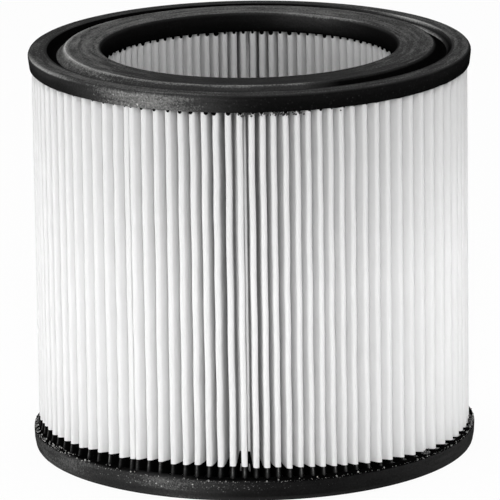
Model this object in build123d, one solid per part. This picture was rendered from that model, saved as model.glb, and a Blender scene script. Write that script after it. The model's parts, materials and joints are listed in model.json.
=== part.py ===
"""Vacuum cartridge filter: a ring of pleated filter sheet, closed at each end by a moulded cap."""
import os
from math import cos, pi, sin

from build123d import *

# Overall, in millimetres
cartridge_height = 129.1
bore_radius = 46.6

# Top face, from the bore outwards: raised sealing ring, sloped groove, flat flange
bore_edge = 0.6
sealing_width = 11.4
groove_inner_slope = 2.8
groove_floor_width = 1.4
groove_outer_slope = 1.5
flange_width = 6.3

# Top cap, from the sealing face down
sealing_step = 0.6
groove_depth = 2.0
top_wall_height = 5.6
top_wall_lean = 0.7

# Bottom cap: upright rim that overhangs the top cap, with a lip that creeps up the pleats
rim_height = 6.2
rim_overhang = 0.4
rim_lean = 0.7
creep_rise = 1.4

# Troughs in the caps that hold the ends of the pleats
top_trough_depth = 2.0
bottom_floor = 3.5
outer_lip_width = 1.2
inner_lip_width = 1.0
outer_clearance = 0.1
inner_clearance = 0.3

# Filter sheet, folded into radial pleats
pleat_count = 100
sheet_thickness = 0.6
crest_gap = 0.7
crest_rise = 0.175
inner_fold_gap = 0.2
inner_fold_rise = 0.075

# Sizes that follow from the ones above
sealing_radius = bore_radius + sealing_width
groove_floor_inner = sealing_radius + groove_inner_slope
groove_floor_outer = groove_floor_inner + groove_floor_width
groove_radius = groove_floor_outer + groove_outer_slope
top_radius = groove_radius + flange_width
bottom_radius = top_radius + rim_overhang
flange_height = cartridge_height - sealing_step
groove_floor_height = flange_height - groove_depth
top_underside = flange_height - top_wall_height
top_trough_floor = top_underside + top_trough_depth
trough_outer = top_radius - outer_lip_width
trough_inner = bore_radius + inner_lip_width
crest_radius = trough_outer - outer_clearance
crest_width = crest_gap + 2 * sheet_thickness
inner_fold_radius = trough_inner + inner_clearance
inner_fold_width = inner_fold_gap + 2 * sheet_thickness
sheet_height = top_trough_floor - bottom_floor
pleat_angle = 2 * pi / pleat_count


def turned(*edges):
    """Turn a closed profile of radius and height about the axis into a ring."""
    profile = make_face(list(edges))
    return revolve(Plane.XZ * profile, Axis.Z)


def on_pleat(middle_angle, radius, offset):
    """Point at a radius along a fold's middle line, moved sideways by an offset."""
    across = middle_angle + pi / 2
    x = radius * cos(middle_angle) + offset * cos(across)
    y = radius * sin(middle_angle) + offset * sin(across)
    return (x, y)


def folded_wire(round_angle, round_radius, round_rise, round_width, flat_angle, flat_radius, flat_width):
    """One side of the sheet: rounded folds, with the flat floors of the folds between them.

    A positive rise rounds the fold outwards, and a negative one rounds it towards the axis.
    """
    edges = []
    for pleat in range(pleat_count):
        turn = pleat * pleat_angle
        shoulder = round_radius - round_rise
        round_start = on_pleat(turn + round_angle, shoulder, -round_width / 2)
        round_top = on_pleat(turn + round_angle, round_radius, 0)
        round_end = on_pleat(turn + round_angle, shoulder, round_width / 2)
        flat_start = on_pleat(turn + flat_angle, flat_radius, -flat_width / 2)
        flat_end = on_pleat(turn + flat_angle, flat_radius, flat_width / 2)
        next_start = on_pleat(turn + pleat_angle + round_angle, shoulder, -round_width / 2)
        edges.append(ThreePointArc(round_start, round_top, round_end))
        edges.append(Line(round_end, flat_start))
        edges.append(Line(flat_start, flat_end))
        edges.append(Line(flat_end, next_start))
    return Wire(edges)


# Top cap
top_cap = turned(
    Polyline(
        (top_radius - top_wall_lean, top_underside),
        (trough_outer, top_underside),
        (trough_outer, top_trough_floor),
        (trough_inner, top_trough_floor),
        (trough_inner, top_underside),
        (bore_radius, top_underside),
        (bore_radius, cartridge_height - bore_edge),
        (bore_radius + bore_edge, cartridge_height),
        (sealing_radius, cartridge_height),
        (groove_floor_inner, groove_floor_height),
        (groove_floor_outer, groove_floor_height),
        (groove_radius, flange_height),
        (top_radius, flange_height),
        close=True,
    )
)

# Bottom cap, with a rim that rounds in towards the face it stands on
rim_edge = (bottom_radius, rim_height)
rest_edge = (bottom_radius - rim_lean, 0)
bottom_cap = turned(
    Polyline(
        rest_edge,
        (bore_radius, 0),
        (bore_radius, rim_height),
        (trough_inner, rim_height),
        (trough_inner, bottom_floor),
        (trough_outer, bottom_floor),
        (trough_outer, rim_height + creep_rise),
        rim_edge,
    ),
    TangentArc(rim_edge, rest_edge, tangent=(0, -1)),
)

# Filter sheet: its outer side is rounded at the crests, and its bore side at the inner folds
outer_side = folded_wire(
    round_angle=0,
    round_radius=crest_radius,
    round_rise=crest_rise,
    round_width=crest_width,
    flat_angle=pleat_angle / 2,
    flat_radius=inner_fold_radius + sheet_thickness,
    flat_width=inner_fold_gap,
)
bore_side = folded_wire(
    round_angle=pleat_angle / 2,
    round_radius=inner_fold_radius,
    round_rise=-inner_fold_rise,
    round_width=inner_fold_width,
    flat_angle=pleat_angle,
    flat_radius=crest_radius - sheet_thickness,
    flat_width=crest_gap,
)
sheet_section = Face(outer_side, [bore_side])
filter_media = Pos(0, 0, bottom_floor) * extrude(sheet_section, sheet_height)

# Files, one for each piece
os.makedirs("parts", exist_ok=True)
export_step(top_cap, "parts/top_cap.step")
export_step(filter_media, "parts/filter_media.step")
export_step(bottom_cap, "parts/bottom_cap.step")
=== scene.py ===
"""Vacuum cartridge filter: builds its pleated sheet, moulded rings, cast resin and a studio."""
import json

import bpy
import numpy as np
from mathutils import Euler, Matrix, Vector


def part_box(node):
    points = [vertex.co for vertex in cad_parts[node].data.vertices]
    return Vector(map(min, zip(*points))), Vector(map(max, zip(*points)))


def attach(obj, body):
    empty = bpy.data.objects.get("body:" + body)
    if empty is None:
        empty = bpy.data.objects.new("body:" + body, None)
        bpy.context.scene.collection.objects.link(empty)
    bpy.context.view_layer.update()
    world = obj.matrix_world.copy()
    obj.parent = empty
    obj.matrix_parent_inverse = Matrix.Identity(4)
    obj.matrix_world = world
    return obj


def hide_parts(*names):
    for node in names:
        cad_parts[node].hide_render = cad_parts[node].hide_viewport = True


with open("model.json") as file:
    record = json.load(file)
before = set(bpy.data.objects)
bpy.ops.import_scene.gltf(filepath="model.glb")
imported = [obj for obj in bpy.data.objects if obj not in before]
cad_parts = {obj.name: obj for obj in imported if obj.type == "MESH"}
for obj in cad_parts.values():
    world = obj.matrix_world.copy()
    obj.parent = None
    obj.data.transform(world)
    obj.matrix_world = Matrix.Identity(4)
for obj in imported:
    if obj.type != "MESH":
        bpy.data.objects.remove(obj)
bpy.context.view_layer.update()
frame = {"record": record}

bl_info = {
    "name": "Cartridge filter",
    "version": (1, 0, 0),
    "blender": (4, 5, 0),
    "location": "View3D > Sidebar > Cartridge",
    "description": "Builds a pleated filter cartridge with moulded end rings, and a studio for it",
    "category": "Object",
}

MM = 0.001
BODY = "root"
sheet_low, sheet_high = (np.array(corner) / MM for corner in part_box("filter_media"))
top_low, top_high = (np.array(corner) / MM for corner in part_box("top_cap"))
bottom_low, bottom_high = (np.array(corner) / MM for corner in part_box("bottom_cap"))
BORE_RADIUS = next(m["dims"]["r_mm"] for m in frame["record"]["mounts"] if m["name"] == "upper_bore")


def hex_colour(text):
    """Linear RGBA of an sRGB hex colour, by the sRGB curve."""
    srgb = np.array([int(text[start:start + 2], 16) for start in (1, 3, 5)]) / 255
    linear = np.where(srgb <= 0.04045, srgb / 12.92, ((srgb + 0.055) / 1.055) ** 2.4)
    return (*linear.tolist(), 1.0)


class SheetSettings(bpy.types.PropertyGroup):
    """Sizes and colour of the pleated filter sheet."""

    pleats: bpy.props.IntProperty(
        name="Pleats", description="Number of pleats round the cartridge", default=100, min=20
    )
    thickness: bpy.props.FloatProperty(
        name="Thickness", description="Thickness of the sheet", default=0.6 * MM, unit="LENGTH"
    )
    crest_width: bpy.props.FloatProperty(
        name="Crest width", description="Width of an outer fold", default=1.9 * MM, unit="LENGTH"
    )
    fold_width: bpy.props.FloatProperty(
        name="Inner fold width", description="Width of an inner fold", default=1.95 * MM, unit="LENGTH"
    )
    sway: bpy.props.FloatProperty(
        name="Sway", description="How far a crest wanders from upright", default=0.09 * MM, unit="LENGTH"
    )
    seam_angle: bpy.props.FloatProperty(
        name="Seam angle", description="Where the ends of the sheet are joined, from the front",
        default=np.radians(-34.0), subtype="ANGLE",
    )
    colour: bpy.props.FloatVectorProperty(
        name="Colour", description="Colour of the fleece", size=4, subtype="COLOR",
        default=hex_colour("#FAFAFA"),
    )


class RingSettings(bpy.types.PropertyGroup):
    """Edges and colours of the moulded rings and their resin."""

    edge: bpy.props.FloatProperty(
        name="Edge round", description="Round on the top ring's outer edge", default=1.5 * MM, unit="LENGTH"
    )
    bore_round: bpy.props.FloatProperty(
        name="Bore round", description="Round on the bore's top edge", default=1.0 * MM, unit="LENGTH"
    )
    ripple: bpy.props.FloatProperty(
        name="Ripple", description="Unevenness of the cast walls", default=0.12 * MM, unit="LENGTH"
    )
    creep: bpy.props.FloatProperty(
        name="Creep", description="Height of the resin on the pleats' feet", default=9.7 * MM, unit="LENGTH"
    )
    beads: bpy.props.IntProperty(
        name="Beads", description="Number of small bubbles along the lower rim", default=700, min=1
    )
    # The ramp's dark end: the resin's own black, also put as painted shade in the groove, the hollows and the
    # walls out of the light
    black_and_painted_shade: bpy.props.FloatVectorProperty(
        name="Black resin and painted shade", description="Colour of the resin in its hollows", size=4, subtype="COLOR",
        default=hex_colour("#060606"),
    )
    # The skin stop: the chalky skin where the mould rubs, which on the upper faces also stands for painted
    # sheen
    skin: bpy.props.FloatVectorProperty(
        name="Rubbed skin and painted sheen", description="Colour of the skin on the mould's faces", size=4, subtype="COLOR",
        default=hex_colour("#3A3A3A"),
    )
    # The ramp's pale end: bubbles and thin films, towards which painted highlights and glints also climb
    foam: bpy.props.FloatVectorProperty(
        name="Foam", description="Colour of bubbles and thin films", size=4, subtype="COLOR",
        default=hex_colour("#C6C6C4"),
    )


class StudioSettings(bpy.types.PropertyGroup):
    """Camera, lamps and floor."""

    distance: bpy.props.FloatProperty(
        name="Distance", description="From the camera to its target", default=1.869, unit="LENGTH"
    )
    target: bpy.props.FloatVectorProperty(
        name="Target", description="Point that the camera looks at", size=3, subtype="TRANSLATION",
        default=(-0.65 * MM, 0.0, 62.2 * MM),
    )
    pitch: bpy.props.FloatProperty(
        name="Pitch", description="How far the camera looks down", default=np.radians(14.5), subtype="ANGLE"
    )
    roll: bpy.props.FloatProperty(
        name="Roll", description="Turn about the view axis", default=np.radians(-0.8), subtype="ANGLE"
    )
    lens: bpy.props.FloatProperty(
        name="Lens", description="Focal length in millimetres", default=423.8
    )
    floor: bpy.props.FloatVectorProperty(
        name="Floor", description="Colour of the floor", size=4, subtype="COLOR",
        default=hex_colour("#F4F4F4"),
    )


def add_node(tree, kind, inputs=None, **settings):
    """Add a node with its settings; an input takes a value, or the socket that feeds it."""
    new = tree.nodes.new(kind)
    for name, value in settings.items():
        setattr(new, name, value)
    for socket, value in (inputs or {}).items():
        if isinstance(value, bpy.types.NodeSocket):
            tree.links.new(value, new.inputs[socket])
        else:
            new.inputs[socket].default_value = value
    return new


def blank_material(name):
    """An empty node material with its output, as (material, tree, output)."""
    material = bpy.data.materials.new(name)
    material.use_nodes = True
    tree = material.node_tree
    tree.nodes.clear()
    return material, tree, add_node(tree, "ShaderNodeOutputMaterial")


def per_metre(millimetres):
    """Texture scale that repeats once in the given length, for coordinates in metres."""
    return 1 / (millimetres * MM)


# Painted shade on the fleece near the rings: share of its colour left at its lower end, and at its upper end
# on the left and on the right
FOOT_PAINTED_SHADE = 0.95
HEAD_PAINTED_SHADE = (0.87, 0.74)
FLEECE_CLEAR = 0.1


def fleece_material(settings):
    """Pressed polyester fleece: matt white, with a fine fibre nap, faint upright pressing marks and painted
    shade towards its ends.
    """
    material, tree, output = blank_material("Polyester fleece")
    place = add_node(tree, "ShaderNodeTexCoord").outputs["Object"]
    # Fibres of a few hundredths of a millimetre are drawn at 0.5 mm, the finest that shows
    fibre = add_node(
        tree, "ShaderNodeTexNoise",
        {"Vector": place, "Scale": per_metre(0.5), "Detail": 4.0, "Roughness": 0.6},
    )
    stretched = add_node(tree, "ShaderNodeMapping", {"Vector": place, "Scale": (1.0, 1.0, 0.06)})
    streak = add_node(
        tree, "ShaderNodeTexNoise", {"Vector": stretched.outputs[0], "Scale": per_metre(1.6), "Detail": 3.0}
    )
    cloud = add_node(
        tree, "ShaderNodeTexNoise", {"Vector": place, "Scale": per_metre(9.0), "Detail": 2.0}
    )
    marks = add_node(
        tree, "ShaderNodeMath", {0: streak.outputs["Fac"], 1: cloud.outputs["Fac"]}, operation="MULTIPLY"
    )
    shade = add_node(
        tree, "ShaderNodeMapRange",
        {"Value": marks.outputs[0], "From Min": 0.12, "From Max": 0.42, "To Min": 0.97, "To Max": 1.0},
    )
    # Painted shade: the sheet is greyer towards its ends, most of all towards the top, and more there on the
    # right
    apart = add_node(tree, "ShaderNodeSeparateXYZ", {0: place})
    level = apart.outputs["Z"]
    right = add_node(
        tree, "ShaderNodeMapRange",
        {"Value": apart.outputs["X"], "From Min": -70 * MM, "From Max": 70 * MM,
         "To Min": HEAD_PAINTED_SHADE[0], "To Max": HEAD_PAINTED_SHADE[1]},
    ).outputs[0]
    head = add_node(
        tree, "ShaderNodeMapRange",
        {"Value": level, "From Min": 65 * MM, "From Max": 123 * MM, "To Min": 1.0, "To Max": right},
    ).outputs[0]
    foot = add_node(
        tree, "ShaderNodeMapRange",
        {"Value": level, "From Min": 9 * MM, "From Max": 32 * MM, "To Min": FOOT_PAINTED_SHADE, "To Max": 1.0},
    ).outputs[0]
    ends = add_node(tree, "ShaderNodeMath", {0: head, 1: foot}, operation="MULTIPLY").outputs[0]
    shade = add_node(tree, "ShaderNodeMath", {0: shade.outputs[0], 1: ends}, operation="MULTIPLY").outputs[0]
    tint = add_node(
        tree, "ShaderNodeMix", {0: 1.0, 6: settings.colour, 7: shade}, data_type="RGBA", blend_type="MULTIPLY"
    )
    nap = add_node(
        tree, "ShaderNodeMath", {0: fibre.outputs["Fac"], 1: streak.outputs["Fac"]}, operation="ADD"
    )
    bump = add_node(
        tree, "ShaderNodeBump", {"Height": nap.outputs[0], "Strength": 0.25, "Distance": 0.12 * MM}
    )
    face = add_node(
        tree, "ShaderNodeBsdfPrincipled",
        {"Base Color": tint.outputs[2], "Roughness": 0.95, "IOR": 1.45, "Normal": bump.outputs[0],
         "Specular IOR Level": 0.1},
    )
    # Light passes through the thin fleece, which keeps the gaps between the pleats from going black
    through = add_node(
        tree, "ShaderNodeBsdfTranslucent", {"Color": tint.outputs[2], "Normal": bump.outputs[0]}
    )
    surface = add_node(
        tree, "ShaderNodeMixShader", {0: FLEECE_CLEAR, 1: face.outputs[0], 2: through.outputs[0]}
    )
    tree.links.new(surface.outputs[0], output.inputs["Surface"])
    return material


# Finishes of the polyurethane: name, roughness and mirror share
FOAM = ("Moulded polyurethane foam", 0.9, 0.0)
CURED = ("Cured polyurethane drops", 0.3, 0.5)
SKIN_STOP = 0.3


def polyurethane_material(settings, name, roughness, sheen):
    """Polyurethane poured into a mould: black, and chalky where the mould rubs it. Its pale share also holds
    painted light: lighter where the lamps fall, painted highlights and glints, and black left as painted
    shade in the hollows and on walls out of the light.

    The foam of the rings is matt, because its open pores scatter the light, and cured drops are glossy.
    """
    material, tree, output = blank_material(name)
    place = add_node(tree, "ShaderNodeTexCoord").outputs["Object"]
    flow = add_node(tree, "ShaderNodeAttribute", attribute_name="flow").outputs["Vector"]
    pale = add_node(tree, "ShaderNodeAttribute", attribute_name="pale").outputs["Fac"]
    bubbly = add_node(tree, "ShaderNodeAttribute", attribute_name="bubbly").outputs["Fac"]
    grain = add_node(
        tree, "ShaderNodeTexNoise",
        {"Vector": place, "Scale": per_metre(0.6), "Detail": 4.0, "Roughness": 0.75},
    ).outputs["Fac"]
    # Flow marks run round the ring, 1.5 mm across and many times as long
    marks = add_node(
        tree, "ShaderNodeTexNoise", {"Vector": flow, "Scale": per_metre(1.5), "Detail": 3.0}
    ).outputs["Fac"]
    mottle = add_node(tree, "ShaderNodeMix", {"Factor": 0.35, 2: grain, 3: marks}).outputs[0]
    share = add_node(
        tree, "ShaderNodeMapRange",
        {"Value": mottle, "From Min": 0.36, "From Max": 0.64, "To Min": 0.65, "To Max": 1.35},
    ).outputs[0]
    # Bubbles 0.9 mm across burst through the skin where the resin foamed most and where the lamps catch the
    # rings, and leave pale specks that are partly painted glints
    cells = add_node(
        tree, "ShaderNodeTexVoronoi", {"Vector": place, "Scale": per_metre(0.9)}, feature="SMOOTH_F1"
    )
    speck_and_glint = add_node(
        tree, "ShaderNodeMapRange",
        {"Value": cells.outputs["Distance"], "From Min": 0.08, "From Max": 0.32,
         "To Min": 0.5, "To Max": 0.0},
    ).outputs[0]
    burst = add_node(
        tree, "ShaderNodeMath", {0: cells.outputs["Color"], 1: 3.0}, operation="POWER"
    ).outputs[0]
    speck_and_glint = add_node(tree, "ShaderNodeMath", {0: speck_and_glint, 1: burst}, operation="MULTIPLY").outputs[0]
    skin = add_node(tree, "ShaderNodeMath", {0: pale, 1: share}, operation="MULTIPLY").outputs[0]
    tone = add_node(
        tree, "ShaderNodeMath", {0: speck_and_glint, 1: bubbly, 2: skin}, operation="MULTIPLY_ADD"
    ).outputs[0]
    # Ramp from black through skin to pale foam: its dark end doubles as painted shade, its upper part as
    # painted highlights and glints
    ramp = add_node(tree, "ShaderNodeValToRGB", {"Fac": tone})
    ramp.color_ramp.elements[0].color = settings.black_and_painted_shade
    ramp.color_ramp.elements[1].color = settings.foam
    ramp.color_ramp.elements.new(SKIN_STOP).color = settings.skin
    domes = add_node(
        tree, "ShaderNodeMath", {0: cells.outputs["Distance"], 1: bubbly}, operation="MULTIPLY"
    ).outputs[0]
    height = add_node(
        tree, "ShaderNodeMath", {0: grain, 1: domes}, operation="SUBTRACT"
    ).outputs[0]
    bump = add_node(tree, "ShaderNodeBump", {"Height": height, "Strength": 0.6, "Distance": 0.3 * MM})
    surface = add_node(
        tree, "ShaderNodeBsdfPrincipled",
        {"Base Color": ramp.outputs["Color"], "Roughness": roughness, "IOR": 1.5, "Specular IOR Level": sheen,
         "Normal": bump.outputs[0]},
    )
    tree.links.new(surface.outputs[0], output.inputs["Surface"])
    return material


def put_mesh(name, points, faces, material):
    """A smooth mesh object at the origin from points in millimetres and rows of four corner numbers."""
    mesh = bpy.data.meshes.new(name)
    mesh.vertices.add(len(points))
    mesh.vertices.foreach_set("co", (points * MM).astype(np.float32).ravel())
    mesh.loops.add(faces.size)
    mesh.loops.foreach_set("vertex_index", faces.astype(np.int32).ravel())
    mesh.polygons.add(len(faces))
    mesh.polygons.foreach_set("loop_start", np.arange(len(faces), dtype=np.int32) * faces.shape[1])
    mesh.polygons.foreach_set("use_smooth", np.ones(len(faces), dtype=bool))
    mesh.materials.append(material)
    mesh.update(calc_edges=True)
    if mesh.validate():
        raise RuntimeError(f"{name}: the mesh was not sound")
    piece = bpy.data.objects.new(name, mesh)
    bpy.context.scene.collection.objects.link(piece)
    return piece


def closed_grid(points):
    """Flat points and faces of a grid that closes on itself both ways, turned to face outwards.

    Each face joins four neighbours. The volume is the sum of the corner products over the faces, and
    where it comes out negative the corners are taken in the other order.
    """
    rows, columns = points.shape[:2]
    number = np.arange(rows * columns).reshape(rows, columns)
    across = np.roll(number, -1, axis=1)
    faces = np.stack([number, across, np.roll(across, -1, axis=0), np.roll(number, -1, axis=0)], axis=-1)
    faces = faces.reshape(-1, 4)
    flat = points.reshape(-1, 3)
    a, b, c, d = (flat[faces[:, corner]] for corner in range(4))
    volume = np.sum(np.cross(a, b) * c) + np.sum(np.cross(a, c) * d)
    if volume < 0:
        faces = faces[:, ::-1]
    return flat, faces


def finish_piece(piece, node=None):
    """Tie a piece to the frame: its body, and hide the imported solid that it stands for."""
    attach(piece, BODY)
    if node:
        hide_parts(node)


def paint(piece, **values):
    """Store a number or a vector for each point of a piece, for its material to read."""
    for name, value in values.items():
        value = np.asarray(value, dtype=np.float32)
        kind, field = ("FLOAT", "value") if value.ndim == 1 else ("FLOAT_VECTOR", "vector")
        piece.data.attributes.new(name, kind, "POINT").data.foreach_set(field, value.ravel())


def bell(angle, middle, width):
    """Bell curve of an angle round its middle, both in degrees, closed over the turn."""
    away = np.mod(np.degrees(angle) - middle + 180.0, 360.0) - 180.0
    return np.exp(-((away / width) ** 2))


def tone(angle, base, *bells):
    """A base plus bell curves of the angle, each given as its share, middle and width in degrees."""
    return base + sum(share * bell(angle, middle, width) for share, middle, width in bells)


def band(value, low, high, soft):
    """1 between two values, falling to 0 over a soft distance outside them."""
    return np.clip(np.minimum(value - low, high - value) / soft + 1, 0, 1)


def directions(angle):
    """Outward and sideways unit vectors at an angle from the front, turning towards the right."""
    outward = np.stack([np.sin(angle), -np.cos(angle)], axis=-1)
    sideways = np.stack([np.cos(angle), np.sin(angle)], axis=-1)
    return outward, sideways


# Pleat spacing: bells of (share, middle, width in degrees) over an even spacing
SPACING_BELLS = ((-0.17, 12.0, 34.0), (0.34, 66.0, 20.0), (0.10, -50.0, 20.0))
SPACING_JITTER = 0.05
SEAM_SHARE = 0.5
# Depths in millimetres: the fold at the seam, how far crests and folds fall short at most, and the gap
# between the folds and the bore
SEAM_DEPTH = 3.0
CREST_DROP = 0.22
FOLD_DROP = 0.35
FOLD_GAP = 1.3
# Folds in front lean to the left
LEAN = np.radians(0.9)
LEAN_WIDTH = 70
# Sway of each crest: least share of the full sway, and turns over the height of its slow and its quick wave
SWAY_LEAST = 0.4
SWAY_TURNS = ((0.5, 3.0), (1.2, 7.0))
ARC_REACH = np.radians(84.0)
CREST_STEPS = 9
FOLD_STEPS = 5
FLANK_STEPS = np.array([1 / 3, 2 / 3])
PLEAT_COLUMNS = CREST_STEPS + FOLD_STEPS + 2 * len(FLANK_STEPS)
SEED = 11


def pleat_layout(settings):
    """Angle, reach and sway of each crest, and of the inner fold after it.

    The gap after a crest is an even share of the turn times one plus three bell curves of the angle and a
    small random share, and the gap at the seam is halved. The running sum of the gaps, scaled to a full
    turn, gives the angles. A fold lies midway between its crests.
    """
    count = settings.pleats
    random = np.random.default_rng(SEED)
    even = np.linspace(-180.0, 180.0, count, endpoint=False)
    gap = np.ones(count)
    for share, middle, width in SPACING_BELLS:
        gap += share * np.exp(-(((even - middle) / width) ** 2))
    gap *= 1 + SPACING_JITTER * random.uniform(-1, 1, count)
    seam = int(np.argmin(np.abs(even - np.degrees(settings.seam_angle))))
    gap[seam] *= SEAM_SHARE
    gap *= 2 * np.pi / gap.sum()
    crest = np.cumsum(gap) - gap
    crest += settings.seam_angle - crest[seam]
    radius = sheet_high[0]
    inner = BORE_RADIUS + FOLD_GAP
    fold_radius = inner + FOLD_DROP * random.uniform(0, 1, count)
    fold_radius[seam] = radius - SEAM_DEPTH
    return {
        "crest": crest,
        "fold": crest + gap / 2 - LEAN * bell(crest, 0, LEAN_WIDTH),
        "crest_radius": radius - CREST_DROP * random.uniform(0, 1, count),
        "fold_radius": fold_radius,
        "sway": settings.sway / MM * random.uniform(SWAY_LEAST, 1.0, (2, count)),
        "turns": random.uniform(*SWAY_TURNS, (count, 2)).T,
        "phase": random.uniform(0, 2 * np.pi, (2, count)),
        "level": random.uniform(-1, 1, count),
        "crest_round": settings.crest_width / MM / 2,
        "fold_round": settings.fold_width / MM / 2,
        "thickness": settings.thickness / MM,
    }


def sheet_lines(layout, height):
    """Outer and bore lines of the sheet at heights of one row each, as x and y in millimetres.

    Round a crest the line is an arc about a centre just inside it, and round an inner fold an arc about a
    centre just outside it. Straight flanks join them. The bore line has the same centres and radii that
    differ by the sheet's thickness. Each crest sways with two sines of the height.
    """
    reach = sheet_high[2] - sheet_low[2]
    wave = 2 * np.pi * layout["turns"][:, None, :] * (height / reach) + layout["phase"][:, None, :]
    sway = np.sum(layout["sway"][:, None, :] * np.sin(wave), axis=0) / layout["crest_radius"]
    crest_out, crest_side = directions(layout["crest"] + sway)
    fold_out, fold_side = directions(layout["fold"] + 0.5 * sway)
    crest_turn = np.linspace(-ARC_REACH, ARC_REACH, CREST_STEPS)
    fold_turn = np.linspace(-ARC_REACH, ARC_REACH, FOLD_STEPS)
    lines = []
    for crest_round, fold_round in (
        (layout["crest_round"], layout["fold_round"] - layout["thickness"]),
        (layout["crest_round"] - layout["thickness"], layout["fold_round"]),
    ):
        crest_middle = (layout["crest_radius"] - layout["crest_round"])[:, None]
        crest_reach = crest_middle + crest_round * np.cos(crest_turn)
        fold_middle = (layout["fold_radius"] + layout["fold_round"])[:, None]
        fold_reach = fold_middle - fold_round * np.cos(fold_turn)
        crest = crest_out[:, :, None] * crest_reach[..., None]
        crest = crest + crest_side[:, :, None] * (crest_round * np.sin(crest_turn))[:, None]
        fold = fold_out[:, :, None] * fold_reach[..., None]
        fold = fold + fold_side[:, :, None] * (fold_round * np.sin(fold_turn))[:, None]
        share = FLANK_STEPS[:, None]
        inward = crest[:, :, -1:] * (1 - share) + fold[:, :, :1] * share
        outward = fold[:, :, -1:] * (1 - share) + np.roll(crest, -1, axis=1)[:, :, :1] * share
        line = np.concatenate([crest, inward, fold, outward], axis=2)
        lines.append(line.reshape(len(line), -1, 2))
    return lines


def raised(lines, height):
    """Rows of x and y with their heights, as points."""
    return np.concatenate([lines, np.broadcast_to(height[..., None], (*lines.shape[:2], 1))], axis=-1)


def crest_window():
    """Share of each column of the sheet that belongs to a crest: the squared cosine of its turn, or none."""
    turn = np.linspace(-ARC_REACH, ARC_REACH, CREST_STEPS)
    return np.concatenate([np.cos(turn) ** 2, np.zeros(PLEAT_COLUMNS - CREST_STEPS)])


SHEET_ROWS = 26


class CARTRIDGE_OT_sheet(bpy.types.Operator):
    """Build the pleated filter sheet"""

    bl_idname = "cartridge.sheet"
    bl_label = "Filter sheet"

    def execute(self, context):
        settings = context.scene.cartridge_sheet
        layout = pleat_layout(settings)
        height = np.linspace(sheet_low[2], sheet_high[2], SHEET_ROWS)[:, None]
        outer, bore = sheet_lines(layout, height)
        columns = np.broadcast_to(height, outer.shape[:2])
        grid = np.concatenate([raised(outer, columns), raised(bore, columns)[::-1]])
        points, faces = closed_grid(grid)
        piece = put_mesh("pleated_sheet", points, faces, fleece_material(settings))
        finish_piece(piece, "filter_media")
        return {"FINISHED"}


def rounded_loop(corners, rounds, steps):
    """A closed profile with an arc at each corner.

    An arc touches both sides at the round over the tangent of half the corner's angle, and its points swing
    from one side's touching direction to the other's about the centre on the corner's halving line.
    """
    corners = np.asarray(corners, float)
    rounds = np.asarray(rounds, float)[:, None]
    back = np.roll(corners, 1, axis=0) - corners
    ahead = np.roll(corners, -1, axis=0) - corners
    back /= np.linalg.norm(back, axis=1, keepdims=True)
    ahead /= np.linalg.norm(ahead, axis=1, keepdims=True)
    angle = np.arccos(np.clip(np.sum(back * ahead, axis=1, keepdims=True), -1, 1))
    halving = back + ahead
    halving /= np.linalg.norm(halving, axis=1, keepdims=True)
    centre = corners + halving * rounds / np.sin(angle / 2)
    touch = rounds / np.tan(angle / 2)
    first = (corners + back * touch - centre) / rounds
    last = (corners + ahead * touch - centre) / rounds
    swing = (np.pi - angle)[:, None]
    share = np.linspace(0, 1, steps)[None, :, None]
    spoke = np.sin((1 - share) * swing) * first[:, None] + np.sin(share * swing) * last[:, None]
    spoke = spoke / np.sin(swing)
    return (centre[:, None] + rounds[:, None] * spoke).reshape(-1, 2)


def split_long(profile, longest):
    """The same closed profile, with even points put into each side longer than the longest step."""
    ahead = np.roll(profile, -1, axis=0)
    pieces = np.ceil(np.linalg.norm(ahead - profile, axis=1) / longest).astype(int).clip(1)
    start = np.repeat(np.cumsum(pieces) - pieces, pieces)
    share = ((np.arange(pieces.sum()) - start) / np.repeat(pieces, pieces))[:, None]
    return np.repeat(profile, pieces, axis=0) * (1 - share) + np.repeat(ahead, pieces, axis=0) * share


RING_STEPS = 720
CORNER_STEPS = 6
LONGEST_STEP = 1.1
RIPPLE_WAVES = np.arange(3, 240)
FLOW_REACH = 8.0


def ripple(angle, random):
    """A wavy line round the ring, from 0 to 1: sines of whole turns with random sizes and phases."""
    size = random.normal(size=len(RIPPLE_WAVES)) / np.sqrt(RIPPLE_WAVES)
    phase = random.uniform(0, 2 * np.pi, len(RIPPLE_WAVES))
    wave = np.sum(size[:, None] * np.sin(RIPPLE_WAVES[:, None] * angle + phase[:, None]), axis=0)
    return (wave - wave.min()) / (wave.max() - wave.min())


def ring_angles():
    """Even angles round the axis from the front."""
    return np.linspace(0, 2 * np.pi, RING_STEPS, endpoint=False)


def ring_points(profile, inset, lift):
    """Turn a profile of radius and height about the axis, with an inset and a lift at each point."""
    angle = ring_angles()
    radius = profile[:, :1] - inset
    height = profile[:, 1:] + lift
    return np.stack([radius * np.sin(angle), -radius * np.cos(angle), height], axis=-1)


def ring_piece(name, node, profile, inset, lift, pale, bubbly, material):
    """A turned ring with its flow lines: the way along the profile, and a short circle round the axis."""
    points, faces = closed_grid(ring_points(profile, inset, lift))
    piece = put_mesh(name, points, faces, material)
    angle = ring_angles()
    way = np.cumsum(np.linalg.norm(np.diff(profile, axis=0, prepend=profile[:1]), axis=1))
    shape = (len(profile), len(angle))
    flow = np.stack(
        [np.broadcast_to(way[:, None], shape), np.broadcast_to(FLOW_REACH * np.sin(angle), shape),
         np.broadcast_to(FLOW_REACH * np.cos(angle), shape)], axis=-1,
    )
    paint(
        piece, flow=flow.reshape(-1, 3) * MM, pale=np.broadcast_to(pale, shape).ravel(),
        bubbly=np.broadcast_to(bubbly, shape).ravel(),
    )
    finish_piece(piece, node)


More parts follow.
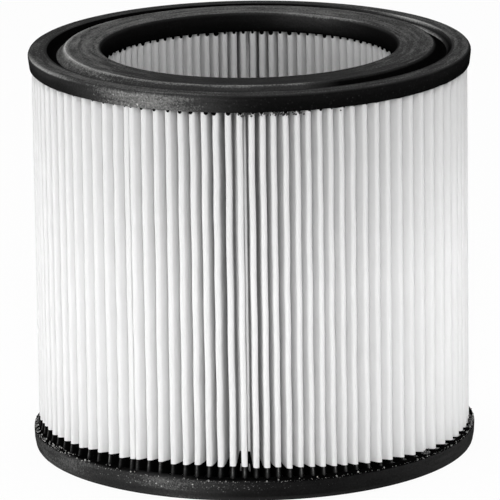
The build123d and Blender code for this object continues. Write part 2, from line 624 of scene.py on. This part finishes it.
# Profiles of the rings in millimetres: radii from the axis, heights from the faces
LIP = sheet_high[0] + 0.1
INNER_LIP = BORE_RADIUS + 1.0
SEAL_RADIUS = 58.0
GROOVE_INNER = 60.8
GROOVE_OUTER = 62.2
GROOVE_RADIUS = 63.7
SEAL_STEP = 0.6
GROOVE_DEPTH = 2.0
WALL_LEAN = 0.7
RIM_HEIGHT = 6.2
BELLY = (0.15, 2.8)
SHARP = 0.05
TOP_ROUNDS = {
    "wall_foot": 0.4, "inner_lip": 0.2, "bore_foot": 0.3, "seal": 0.5, "groove": 0.4, "flange": 0.25,
}
BOTTOM_ROUNDS = {"sole": 1.1, "bore_foot": 0.4, "inner_lip": 0.3, "tip": 0.03, "rim": 0.5, "belly": 3.0}
# Unevenness in millimetres: the wave's reach up the wall and down the shoulder, its strength as times the
# ripple, and how far the lip sinks to the right
WALL_WAVE = 2.0
SHOULDER_WAVE = 1.5
WALL_LIFT = 2.0
SHOULDER_SAG = 3.0
LIP_SINK = 0.9
LIP_SINK_BELL = (75, 45)
# Pale share of the skin: a base, then bells of (share, middle, width in degrees). The bases of the seal face,
# flange and sole are the skin's own chalk. The bells are painted light and shade where the lamps fall, and
# the edge, brim, corner and wall patch bells are painted highlights.
SEAL_SKIN_AND_PAINTED_LIGHT = (0.32, (-0.11, 5, 45), (0.04, -90, 45), (0.06, 180, 60))
LEDGE_SKIN_AND_PAINTED_LIGHT = (0.28, (0.08, -45, 40), (0.06, 105, 45))
EDGE_PAINTED_HIGHLIGHT = (0.0, (0.45, -70, 22))
SLOPE_PAINTED_LIGHT = (0.32, (0.1, -62, 26), (0.22, -95, 30))
SLOPE_BACK_PAINTED_LIGHT = (0.0, (0.12, 150, 30))
SLOPE_LIT = (-125, 14, 14)
BRIM_PAINTED_HIGHLIGHT = (0.0, (0.5, 124, 24))
BRIM_HIGHLIGHT_SHARES = (0.35, 1.4, 0.8)
WALL_PAINTED_SHEEN = (0.0, (0.36, -34, 12), (0.3, -18, 11))
WALL_PAINTED_LIGHT = (0.03, (0.14, -68, 26))
BORE_PAINTED_LIGHT = (0.05, (0.28, 152, 18))
CORNER_PAINTED_HIGHLIGHT = (0.08, (0.35, 148, 26))
RIM_PAINTED_LIGHT = (0.05, (0.28, -64, 32), (0.15, 72, 32), (0.16, -20, 11))
CROWN_PAINTED_LIGHT = (0.0, (0.1, -24, 20))
HEM_PAINTED_BOUNCE_LIGHT = (0.0, (0.12, 5, 30))
SOLE_TONE = 0.3
# Share of burst bubbles, given in the same way. Their pale specks, bunched where the lamps catch the rings,
# are partly painted glints.
BUBBLES = 0.12
WALL_BUBBLES_AND_GLINTS = (0.3, (1.6, -28, 13))
SLOPE_BUBBLES_AND_GLINTS = (0.0, (1.5, -60, 20))
CROWN_BUBBLES_AND_GLINTS = (0.0, (2.4, -20, 22))
CROWN_RISE = (0.8, -26, 26)


class CARTRIDGE_OT_rings(bpy.types.Operator):
    """Build the two moulded end rings"""

    bl_idname = "cartridge.rings"
    bl_label = "End rings"

    def execute(self, context):
        settings = context.scene.cartridge_rings
        material = polyurethane_material(settings, *FOAM)
        random = np.random.default_rng(SEED + 1)
        self.top(settings, material, random)
        self.bottom(settings, material, random)
        return {"FINISHED"}

    def top(self, settings, material, random):
        """The sealing ring: a raised face, a sloped groove and a flange, over a trough for the pleats.

        Its wall and lower edge ripple. The pale share of the skin is a sum of bands of the profile, each
        times bell curves of the angle: the skin's own chalk, plus painted light and shade where the lamps
        fall, painted highlights on edges and lines, and the groove left black as painted shade.
        """
        angle = ring_angles()
        turn = np.degrees(np.mod(angle + np.pi, 2 * np.pi) - np.pi)
        top, radius, under = top_high[2], top_high[0], top_low[2]
        flange = top - SEAL_STEP
        floor = flange - GROOVE_DEPTH
        size = TOP_ROUNDS
        corners = [
            (radius - WALL_LEAN, under), (LIP, under), (LIP, sheet_high[2]), (INNER_LIP, sheet_high[2]),
            (INNER_LIP, under), (BORE_RADIUS, under), (BORE_RADIUS, top), (SEAL_RADIUS, top),
            (GROOVE_INNER, floor), (GROOVE_OUTER, floor), (GROOVE_RADIUS, flange), (radius, flange),
        ]
        rounds = [
            size["wall_foot"], SHARP, SHARP, SHARP, size["inner_lip"], size["bore_foot"],
            settings.bore_round / MM, size["seal"], size["seal"], size["groove"], size["flange"],
            settings.edge / MM,
        ]
        profile = split_long(rounded_loop(corners, rounds, CORNER_STEPS), LONGEST_STEP)
        reach, level = profile[:, :1], profile[:, 1:]
        outer = np.clip((reach - LIP) / (radius - LIP), 0, 1)
        low = np.clip((under + WALL_WAVE - level) / WALL_WAVE, 0, 1) * (reach > LIP - 0.2)
        inset = settings.ripple / MM * outer * ripple(angle, random)
        lift = WALL_LIFT * settings.ripple / MM * low * ripple(angle, random)

        # Bands of the profile, each a share from 0 to 1
        seal = band(reach, BORE_RADIUS + 1.0, SEAL_RADIUS - 0.2, 0.6) * band(level, top - 0.3, top, 0.5)
        ledge = band(reach, GROOVE_RADIUS + 0.3, radius, 0.3) * band(level, flange - 0.1, flange, 0.35)
        edge = band(reach, radius - 0.7, radius - 0.25, 0.2) * band(level, flange - 0.9, flange - 0.2, 0.2)
        slope = band(reach, SEAL_RADIUS, GROOVE_INNER - 0.2, 0.3) * band(level, floor, top, 0.2)
        lit = slope * np.clip((level - floor) / (top - floor), 0.75, 1) * band(turn, *SLOPE_LIT)
        face, low_line, high_line = BRIM_HIGHLIGHT_SHARES
        brim = face + low_line * band(reach, GROOVE_OUTER - 0.1, GROOVE_OUTER + 0.2, 0.05)
        brim = brim + high_line * band(reach, GROOVE_RADIUS - 0.1, GROOVE_RADIUS + 0.2, 0.05)
        brim = brim * band(reach, GROOVE_OUTER - 0.1, GROOVE_RADIUS + 0.2, 0.05)
        brim = brim * band(level, floor, flange, 0.1)
        wall = band(reach, radius - 0.8, radius, 0.1) * band(level, under, flange - 0.9, 0.8)
        wall_shaded_low = wall * np.clip((level - under) / 4.0, 0.5, 1.2)
        bore = band(reach, BORE_RADIUS, BORE_RADIUS + 0.2, 0.1) * band(level, under, top - 0.8, 0.3)
        bore = bore * np.clip((level - under) / (top - under), 0, 1)
        corner = band(reach, BORE_RADIUS + 0.15, BORE_RADIUS + 0.8, 0.15) * band(level, top - 0.9, top, 0.2)
        # Painted light and shade: past the skin's own base tone, the bells lighten the skin where the lamps
        # fall and paint highlights on the outer edge, the brim lines and the bore's corner. The groove, left
        # out, stays black as painted shade, and the wall is shaded low down.
        pale = sum(
            share * tone(angle, *tones) for share, tones in (
                (seal, SEAL_SKIN_AND_PAINTED_LIGHT), (ledge, LEDGE_SKIN_AND_PAINTED_LIGHT), (edge, EDGE_PAINTED_HIGHLIGHT), (lit, SLOPE_PAINTED_LIGHT),
                (slope, SLOPE_BACK_PAINTED_LIGHT), (brim, BRIM_PAINTED_HIGHLIGHT), (wall, WALL_PAINTED_SHEEN), (wall_shaded_low, WALL_PAINTED_LIGHT),
                (bore, BORE_PAINTED_LIGHT), (corner, CORNER_PAINTED_HIGHLIGHT),
            )
        )
        bubbly = BUBBLES + wall * tone(angle, *WALL_BUBBLES_AND_GLINTS) + slope * tone(angle, *SLOPE_BUBBLES_AND_GLINTS)
        ring_piece("top_ring", "top_cap", profile, inset, lift, pale, bubbly, material)

    def bottom(self, settings, material, random):
        """The foot ring: a rim with a rounded belly, and a lip that creeps up round the pleats.

        Its wall ripples, its shoulder sags by the same kind of wave, and its lip sinks to the right.
        """
        angle = ring_angles()
        rim, tip, radius = RIM_HEIGHT, bottom_high[2], bottom_high[0]
        floor = sheet_low[2]
        size = BOTTOM_ROUNDS
        corners = [
            (radius - WALL_LEAN, 0), (BORE_RADIUS, 0), (BORE_RADIUS, rim), (INNER_LIP, rim),
            (INNER_LIP, floor), (LIP, floor), (LIP, tip), (radius, rim), (radius - BELLY[0], BELLY[1]),
        ]
        rounds = [
            size["sole"], size["bore_foot"], size["inner_lip"], size["inner_lip"], SHARP, SHARP, size["tip"],
            size["rim"], size["belly"],
        ]
        profile = split_long(rounded_loop(corners, rounds, CORNER_STEPS), LONGEST_STEP)
        reach, level = profile[:, :1], profile[:, 1:]
        outer = np.clip((reach - LIP) / (radius - LIP), 0, 1)
        shoulder = outer * np.clip((level - rim + SHOULDER_WAVE) / SHOULDER_WAVE, 0, 1)
        crest = np.clip((level - rim) / (tip - rim), 0, 1) * (reach > LIP - 0.2)
        inset = settings.ripple / MM * outer * ripple(angle, random)
        lift = -SHOULDER_SAG * settings.ripple / MM * shoulder * ripple(angle, random)
        lift = lift - LIP_SINK * crest * bell(angle, *LIP_SINK_BELL)

        # Bands of the profile, each a share from 0 to 1
        wall_top = rim - 0.1 + tone(angle, 0.0, CROWN_RISE)
        wall = band(reach, radius - 0.8, radius, 0.2) * band(level, 0.2, wall_top, 0.2)
        crown = wall * band(level, 3.4, tip, 0.8)
        hem = wall * band(level, 0, 0.8, 0.8)
        sole = band(level, 0, 0.1, 0.2) * band(reach, BORE_RADIUS + 1.0, radius - 2.0, 0.6)
        # Painted light: the rim wall is lighter where the lamps fall, its crown at the front left, and its
        # hem as painted light bounced up from the floor. The sole's share is the skin's own chalk.
        pale = wall * tone(angle, *RIM_PAINTED_LIGHT) + crown * tone(angle, *CROWN_PAINTED_LIGHT)
        pale = pale + hem * tone(angle, *HEM_PAINTED_BOUNCE_LIGHT) + sole * SOLE_TONE
        bubbly = BUBBLES + crown * tone(angle, *CROWN_BUBBLES_AND_GLINTS)
        ring_piece("bottom_ring", "bottom_cap", profile, inset, lift, pale, bubbly, material)


BALL_ROWS = 5
BALL_COLUMNS = 8


def unit_ball():
    """Points of a ball and its faces: rings of latitude, and a fan at each pole."""
    rise = np.linspace(0, np.pi, BALL_ROWS + 2)[1:-1, None]
    spin = np.linspace(0, 2 * np.pi, BALL_COLUMNS, endpoint=False)
    flat = [np.sin(rise) * np.cos(spin), np.sin(rise) * np.sin(spin)]
    rings = np.stack([*flat, np.cos(rise) + 0 * spin], axis=-1)
    points = np.concatenate([rings.reshape(-1, 3), [[0, 0, 1], [0, 0, -1]]])
    number = np.arange(BALL_ROWS * BALL_COLUMNS).reshape(BALL_ROWS, BALL_COLUMNS)
    across = np.roll(number, -1, axis=1)
    sides = np.stack([number[:-1], number[1:], across[1:], across[:-1]], axis=-1).reshape(-1, 4)
    top = np.stack([np.full(BALL_COLUMNS, number.size), number[0], across[0]], axis=-1)
    foot = np.stack([np.full(BALL_COLUMNS, number.size + 1), across[-1], number[-1]], axis=-1)
    return points, sides, np.concatenate([top, foot])


def put_balls(name, angle, reach, level, size, pale, material):
    """One ball repeated, each at an angle, radius and height, stretched out, along and up by its size."""
    ball, sides, fans = unit_ball()
    outward, sideways = directions(angle)
    across = np.stack([outward, sideways], axis=1)
    flat = outward[:, None] * reach[:, None, None] + (size[:, None, :2] * ball[:, :2]) @ across
    rise = level[:, None] + size[:, 2:] * ball[:, 2]
    points = np.concatenate([flat, rise[..., None]], axis=-1).reshape(-1, 3)
    start = (np.arange(len(angle)) * len(ball))[:, None, None]
    faces = (sides + start).reshape(-1, 4).tolist() + (fans + start).reshape(-1, 3).tolist()
    mesh = bpy.data.meshes.new(name)
    mesh.from_pydata((points * MM).tolist(), [], faces)
    mesh.polygons.foreach_set("use_smooth", np.ones(len(mesh.polygons), dtype=bool))
    mesh.materials.append(material)
    piece = bpy.data.objects.new(name, mesh)
    bpy.context.scene.collection.objects.link(piece)
    paint(piece, flow=points * MM, pale=np.repeat(pale, len(ball)), bubbly=np.zeros(len(points)))
    finish_piece(piece)


# Crumbs of resin: middle and spread in degrees, then reach, height, size and pale share, each from and
# to, and their number. The pale share of the bright ones stands partly for painted glints.
CRUMBS = (
    (-68.0, 13.0, (69.3, 70.3), (6.2, 7.7), (0.08, 0.26), (0.2, 1.0), 110),
    (-18.0, 15.0, (70.2, 70.38), (3.8, 6.4), (0.07, 0.20), (0.05, 0.55), 420),
    (50.5, 0.8, (69.2, 70.2), (6.5, 8.3), (0.15, 0.42), (0.0, 0.35), 24),
    (84.0, 2.0, (69.2, 70.2), (6.5, 8.2), (0.15, 0.45), (0.0, 0.5), 28),
    (-86.0, 1.2, (69.0, 69.8), (7.2, 9.2), (0.15, 0.40), (0.0, 0.1), 20),
    (6.0, 5.0, (69.2, 69.9), (122.0, 123.1), (0.15, 0.40), (0.0, 0.12), 80),
)
# Resin on the pleats' feet in millimetres: bells of its height, where it starts below the lip's tip, its
# least height, how far it strays, and how it sinks with the depth between the pleats
CREEP_BELLS = ((1.2, -14, 34), (-2.9, 70, 45))
FOOT_START = 1.6
FOOT_LEAST = 0.3
FOOT_ROWS = np.array([0.0, 0.25, 0.5, 0.75, 0.92, 1.0])[:, None]
CREEP_STRAY = 0.3
SINK_SHARE = 0.15
SINK_FROM, SINK_TO = 1.5, 7.0
# Its coat in millimetres: at the tip, what it gains at the foot, the fin on a crest, and how far it goes in
COAT_TIP = 0.05
COAT_FOOT = 0.16
FIN = 0.7
FIN_FALL = 1.3
COAT_DEPTH = 0.06
# Its grey film: where it starts on a crest, its pale share and what that strays by
FILM_FROM = 0.84
FILM_PALE = 0.4
FILM_STRAY = 0.12
FOOT_BUBBLES = 0.3
# Beads: share of crests with one, sideways stray in radians, then reach, height and size from and to
BEAD_SHARE = 0.75
BEAD_STRAY = 0.006
# The large beads' pale share stands partly for painted glints of the lamps
LARGE_BEADS = {"reach": (69.7, 70.1), "level": (6.3, 7.0), "size": (0.14, 0.24), "pale": (0.4, 1.0)}
SMALL_BEADS = {"reach": (69.9, 70.2), "level": (6.0, 6.6), "size": (0.06, 0.16)}
STRETCH = 1.2
# Drops: least share and bells of the outer ones' size, sideways stray in radians, size out, along and
# up, and heights of the outer and inner ones from the ring's underside
DROP_LEAST = 0.3
DROP_BELLS = ((-10, 30), (170, 60))
DROP_STRAY = 0.005
DROP_SIZE = np.array([0.5, 0.85, 1.0])
DROP_LEVELS = (0.05, -0.45)


class CARTRIDGE_OT_resin(bpy.types.Operator):
    """Build the resin that creeps along the pleats from each ring"""

    bl_idname = "cartridge.resin"
    bl_label = "Cast resin"

    def execute(self, context):
        settings = context.scene.cartridge_rings
        layout = pleat_layout(context.scene.cartridge_sheet)
        foam = bpy.data.materials[FOAM[0]]
        material = polyurethane_material(settings, *CURED)
        self.foot(settings, layout, foam)
        self.beads(settings, layout, material)
        self.drops(layout, foam)
        self.crumbs(material)
        return {"FINISHED"}

    def foot(self, settings, layout, material):
        """A thin skin on the pleats' feet.

        The sheet's outer line is moved out by a coat that thins upwards, with a fin on each crest that
        widens down to the rim, and comes back just under the surface. Its upper edge sinks with the depth
        between the pleats. On a crest the film is thin enough to look grey.
        """
        count = len(layout["crest"])
        window = np.tile(crest_window(), count)
        base = bottom_high[2] - FOOT_START
        share = FOOT_ROWS
        line = sheet_lines(layout, base + share * (settings.creep / MM - base))[0]
        depth = np.clip(sheet_high[0] - np.linalg.norm(line[-1], axis=-1), 0, SINK_TO)
        angle = np.arctan2(line[-1, :, 0], -line[-1, :, 1])
        tip = tone(angle, settings.creep / MM, *CREEP_BELLS)
        tip = tip + CREEP_STRAY * np.repeat(layout["level"], PLEAT_COLUMNS)
        tip = tip - SINK_SHARE * np.clip(depth - SINK_FROM, 0, None)
        height = base + share * (np.maximum(tip, base + FOOT_LEAST) - base)
        coat = COAT_FOOT * (1 - share) + COAT_TIP + FIN * (1 - share) ** FIN_FALL * window ** 2
        along = np.roll(line, -1, axis=1) - np.roll(line, 1, axis=1)
        outward = np.stack([along[..., 1], -along[..., 0]], axis=-1)
        outward /= np.linalg.norm(outward, axis=-1, keepdims=True)
        face = raised(line + outward * coat[..., None], height)
        back = raised(line - outward * COAT_DEPTH, height)
        points, faces = closed_grid(np.concatenate([face, back[::-1]]))
        piece = put_mesh("foot_resin", points, faces, material)
        film = np.clip((window - FILM_FROM) / (1 - FILM_FROM), 0, 1)
        film = film * np.repeat(FILM_PALE + FILM_STRAY * layout["level"], PLEAT_COLUMNS)
        pale = np.broadcast_to(film * np.clip(share * 1.6, 0.3, 1), height.shape)
        pale = np.concatenate([pale, pale[::-1]]).ravel()
        paint(piece, flow=points * MM, pale=pale, bubbly=np.full(len(points), FOOT_BUBBLES))
        finish_piece(piece)

    def beads(self, settings, layout, material):
        """Bubbles on the lower rim: a pale one at the foot of most crests, and small ones on the ledge; their
        pale share stands partly for painted glints.
        """
        random = np.random.default_rng(SEED + 2)
        crest = layout["crest"][random.uniform(0, 1, len(layout["crest"])) < BEAD_SHARE]
        large, small = len(crest), settings.beads
        angle = np.concatenate(
            [crest + random.normal(0, BEAD_STRAY, large), random.uniform(-np.pi, np.pi, small)]
        )
        reach, level = (
            np.concatenate(
                [random.uniform(*LARGE_BEADS[name], large), random.uniform(*SMALL_BEADS[name], small)]
            )
            for name in ("reach", "level")
        )
        least, more = LARGE_BEADS["size"]
        size = np.concatenate(
            [least + more * random.uniform(0, 1, large) ** 2, random.uniform(*SMALL_BEADS["size"], small)]
        )
        pale = np.concatenate([random.uniform(*LARGE_BEADS["pale"], large), random.uniform(0, 1, small) ** 2])
        stretch = random.uniform(2 - STRETCH, STRETCH, (len(angle), 3))
        reach = np.minimum(reach, bottom_high[0] - STRETCH * size)
        put_balls("resin_beads", angle, reach, level, size[:, None] * stretch, pale, material)

    def crumbs(self, material):
        """Clusters of small balls, each spread evenly in height and reach, and as a bell in angle."""
        random = np.random.default_rng(SEED + 4)
        columns = []
        for middle, spread, reach, level, size, pale, count in CRUMBS:
            radius = random.uniform(*size, count)
            columns.append([
                np.radians(random.normal(middle, spread, count)), random.uniform(*reach, count) - radius,
                random.uniform(*level, count), radius, random.uniform(*pale, count),
            ])
        angle, reach, level, radius, pale = np.concatenate(columns, axis=1)
        size = radius[:, None] * random.uniform(0.7, 1.3, (len(angle), 3)).clip(None, 1.0)
        put_balls("resin_crumbs", angle, reach, level, size, pale, material)

    def drops(self, layout, material):
        """Drops that hang from the top ring: on the crests in front, and on the inner folds."""
        random = np.random.default_rng(SEED + 3)
        crest, fold = layout["crest"], layout["fold"]
        near = np.max([bell(crest, *place) for place in DROP_BELLS], axis=0)
        outer = DROP_LEAST + (1 - DROP_LEAST) * near
        outer *= random.uniform(0.6, 1.0, len(crest))
        inner = random.uniform(0.5, 1.0, len(fold))
        angle = np.concatenate([crest + random.normal(0, DROP_STRAY, len(crest)), fold])
        reach = np.concatenate([layout["crest_radius"] - 0.1, layout["fold_radius"]])
        share = np.concatenate([outer, inner])
        size = share[:, None] * DROP_SIZE
        level = top_low[2] + np.repeat(DROP_LEVELS, len(crest))
        put_balls("resin_drops", angle, reach, level, size, np.zeros(len(angle)), material)


def flat_card(name, corners, material):
    """A four-sided card from its corners in metres."""
    mesh = bpy.data.meshes.new(name)
    mesh.from_pydata(corners, [], [(0, 1, 2, 3)])
    mesh.materials.append(material)
    card = bpy.data.objects.new(name, mesh)
    bpy.context.scene.collection.objects.link(card)
    return card


def seen_share(tree):
    """Socket that is 1 for rays that show the background: camera, mirror and glass rays."""
    path = add_node(tree, "ShaderNodeLightPath")
    pair = add_node(
        tree, "ShaderNodeMath",
        {0: path.outputs["Is Camera Ray"], 1: path.outputs["Is Glossy Ray"]}, operation="MAXIMUM",
    )
    return add_node(
        tree, "ShaderNodeMath",
        {0: pair.outputs[0], 1: path.outputs["Is Transmission Ray"]}, operation="MAXIMUM",
    ).outputs[0]


# Soft boxes: name, place, size and power, in metres and watts
SOFT_BOXES = (
    ("front_strip", (0.01, -1.3, 0.52), (0.14, 0.98), 10.7),
    ("left_box", (-1.256, -0.336, 0.25), (0.5, 0.46), 5.0),
    ("back_right_box", (1.126, 0.65, 0.11), (0.6, 0.2), 8.0),
    ("back_left_box", (-0.919, 0.919, 0.11), (0.6, 0.2), 4.0),
    ("top_box", (0.0, 0.1, 1.2), (0.5, 0.5), 7.0),
)
AIM = Vector((0, 0, 0.065))
FLOOR_REACH = 6.0
FLOOR_LEVEL = -0.1 * MM
FLOOR_GLOW = 0.96
HORIZON_LIGHT = 0.6
ZENITH_LIGHT = 0.0
ZENITH_RISE = 0.6
SENSOR = 36.0
NEAREST = 0.05


class CARTRIDGE_OT_studio(bpy.types.Operator):
    """Build the floor, lamps, world and camera"""

    bl_idname = "cartridge.studio"
    bl_label = "Studio"

    def execute(self, context):
        settings = context.scene.cartridge_studio
        scene = context.scene
        scene.view_settings.view_transform = "Standard"

        material, tree, output = blank_material("Pale studio floor")
        matt = add_node(tree, "ShaderNodeBsdfDiffuse", {"Color": settings.floor})
        glow = add_node(tree, "ShaderNodeEmission", {"Color": (1, 1, 1, 1), "Strength": 1.0})
        seen = add_node(tree, "ShaderNodeMath", {0: seen_share(tree), 1: FLOOR_GLOW}, operation="MULTIPLY")
        mixed = add_node(
            tree, "ShaderNodeMixShader", {0: seen.outputs[0], 1: matt.outputs[0], 2: glow.outputs[0]}
        )
        # Seen from below the floor is clear, so that the underside of the object shows
        below = add_node(tree, "ShaderNodeNewGeometry").outputs["Backfacing"]
        clear = add_node(tree, "ShaderNodeBsdfTransparent")
        surface = add_node(tree, "ShaderNodeMixShader", {0: below, 1: mixed.outputs[0], 2: clear.outputs[0]})
        tree.links.new(surface.outputs[0], output.inputs["Surface"])
        reach, low = FLOOR_REACH, FLOOR_LEVEL
        flat_card(
            "floor", [(-reach, -reach, low), (reach, -reach, low), (reach, reach, low), (-reach, reach, low)],
            material,
        )

        for name, place, size, power in SOFT_BOXES:
            lamp = bpy.data.lights.new(name, "AREA")
            lamp.shape = "RECTANGLE"
            lamp.size, lamp.size_y = size
            lamp.energy = power
            box = bpy.data.objects.new(name, lamp)
            box.location = place
            box.rotation_euler = (AIM - Vector(place)).to_track_quat("-Z", "Y").to_euler()
            scene.collection.objects.link(box)

        world = bpy.data.worlds.new("Studio surround")
        scene.world = world
        world.use_nodes = True
        tree = world.node_tree
        tree.nodes.clear()
        # The surround is bright at the level of the object, and falls off overhead
        ray = add_node(tree, "ShaderNodeTexCoord").outputs["Generated"]
        rise = add_node(tree, "ShaderNodeSeparateXYZ", {0: ray}).outputs["Z"]
        ambient = add_node(
            tree, "ShaderNodeMapRange",
            {"Value": rise, "From Max": ZENITH_RISE, "To Min": HORIZON_LIGHT, "To Max": ZENITH_LIGHT},
        ).outputs[0]
        strength = add_node(
            tree, "ShaderNodeMapRange", {"Value": seen_share(tree), "To Min": ambient, "To Max": 1.0}
        )
        surround = add_node(
            tree, "ShaderNodeBackground", {"Color": (1, 1, 1, 1), "Strength": strength.outputs[0]}
        )
        add_node(tree, "ShaderNodeOutputWorld", {"Surface": surround.outputs[0]})

        lens = bpy.data.cameras.new("camera")
        lens.lens = settings.lens
        lens.sensor_width = SENSOR
        lens.clip_start = NEAREST
        camera = bpy.data.objects.new("camera", lens)
        turn = Euler((np.pi / 2 - settings.pitch, 0, 0)).to_matrix() @ Matrix.Rotation(settings.roll, 3, "Z")
        camera.rotation_euler = turn.to_euler()
        back = np.array([0.0, -np.cos(settings.pitch), np.sin(settings.pitch)]) * settings.distance
        camera.location = back + np.array(settings.target)
        scene.collection.objects.link(camera)
        scene.camera = camera
        return {"FINISHED"}


class CARTRIDGE_PT_panel(bpy.types.Panel):
    """Lists the pieces of the cartridge"""

    bl_idname = "CARTRIDGE_PT_panel"
    bl_label = "Cartridge filter"
    bl_space_type = "VIEW_3D"
    bl_region_type = "UI"
    bl_category = "Cartridge"

    def draw(self, context):
        for operator in OPERATORS:
            self.layout.operator(operator.bl_idname)
        for name in SETTINGS:
            group = getattr(context.scene, name)
            box = self.layout.box()
            for field in group.__annotations__:
                box.prop(group, field)


SETTINGS = {
    "cartridge_sheet": SheetSettings,
    "cartridge_rings": RingSettings,
    "cartridge_studio": StudioSettings,
}
OPERATORS = (CARTRIDGE_OT_rings, CARTRIDGE_OT_sheet, CARTRIDGE_OT_resin, CARTRIDGE_OT_studio)


def register():
    """Add the classes and their settings to Blender."""
    for group in (*SETTINGS.values(), *OPERATORS, CARTRIDGE_PT_panel):
        bpy.utils.register_class(group)
    for name, group in SETTINGS.items():
        setattr(bpy.types.Scene, name, bpy.props.PointerProperty(type=group))


def unregister():
    """Take the classes and their settings out again."""
    for name in SETTINGS:
        delattr(bpy.types.Scene, name)
    for group in (CARTRIDGE_PT_panel, *OPERATORS, *SETTINGS.values()):
        bpy.utils.unregister_class(group)


def main():
    """Build every piece in order."""
    register()
    bpy.ops.cartridge.rings()
    bpy.ops.cartridge.sheet()
    bpy.ops.cartridge.resin()
    bpy.ops.cartridge.studio()


if __name__ == "__main__":
    main()
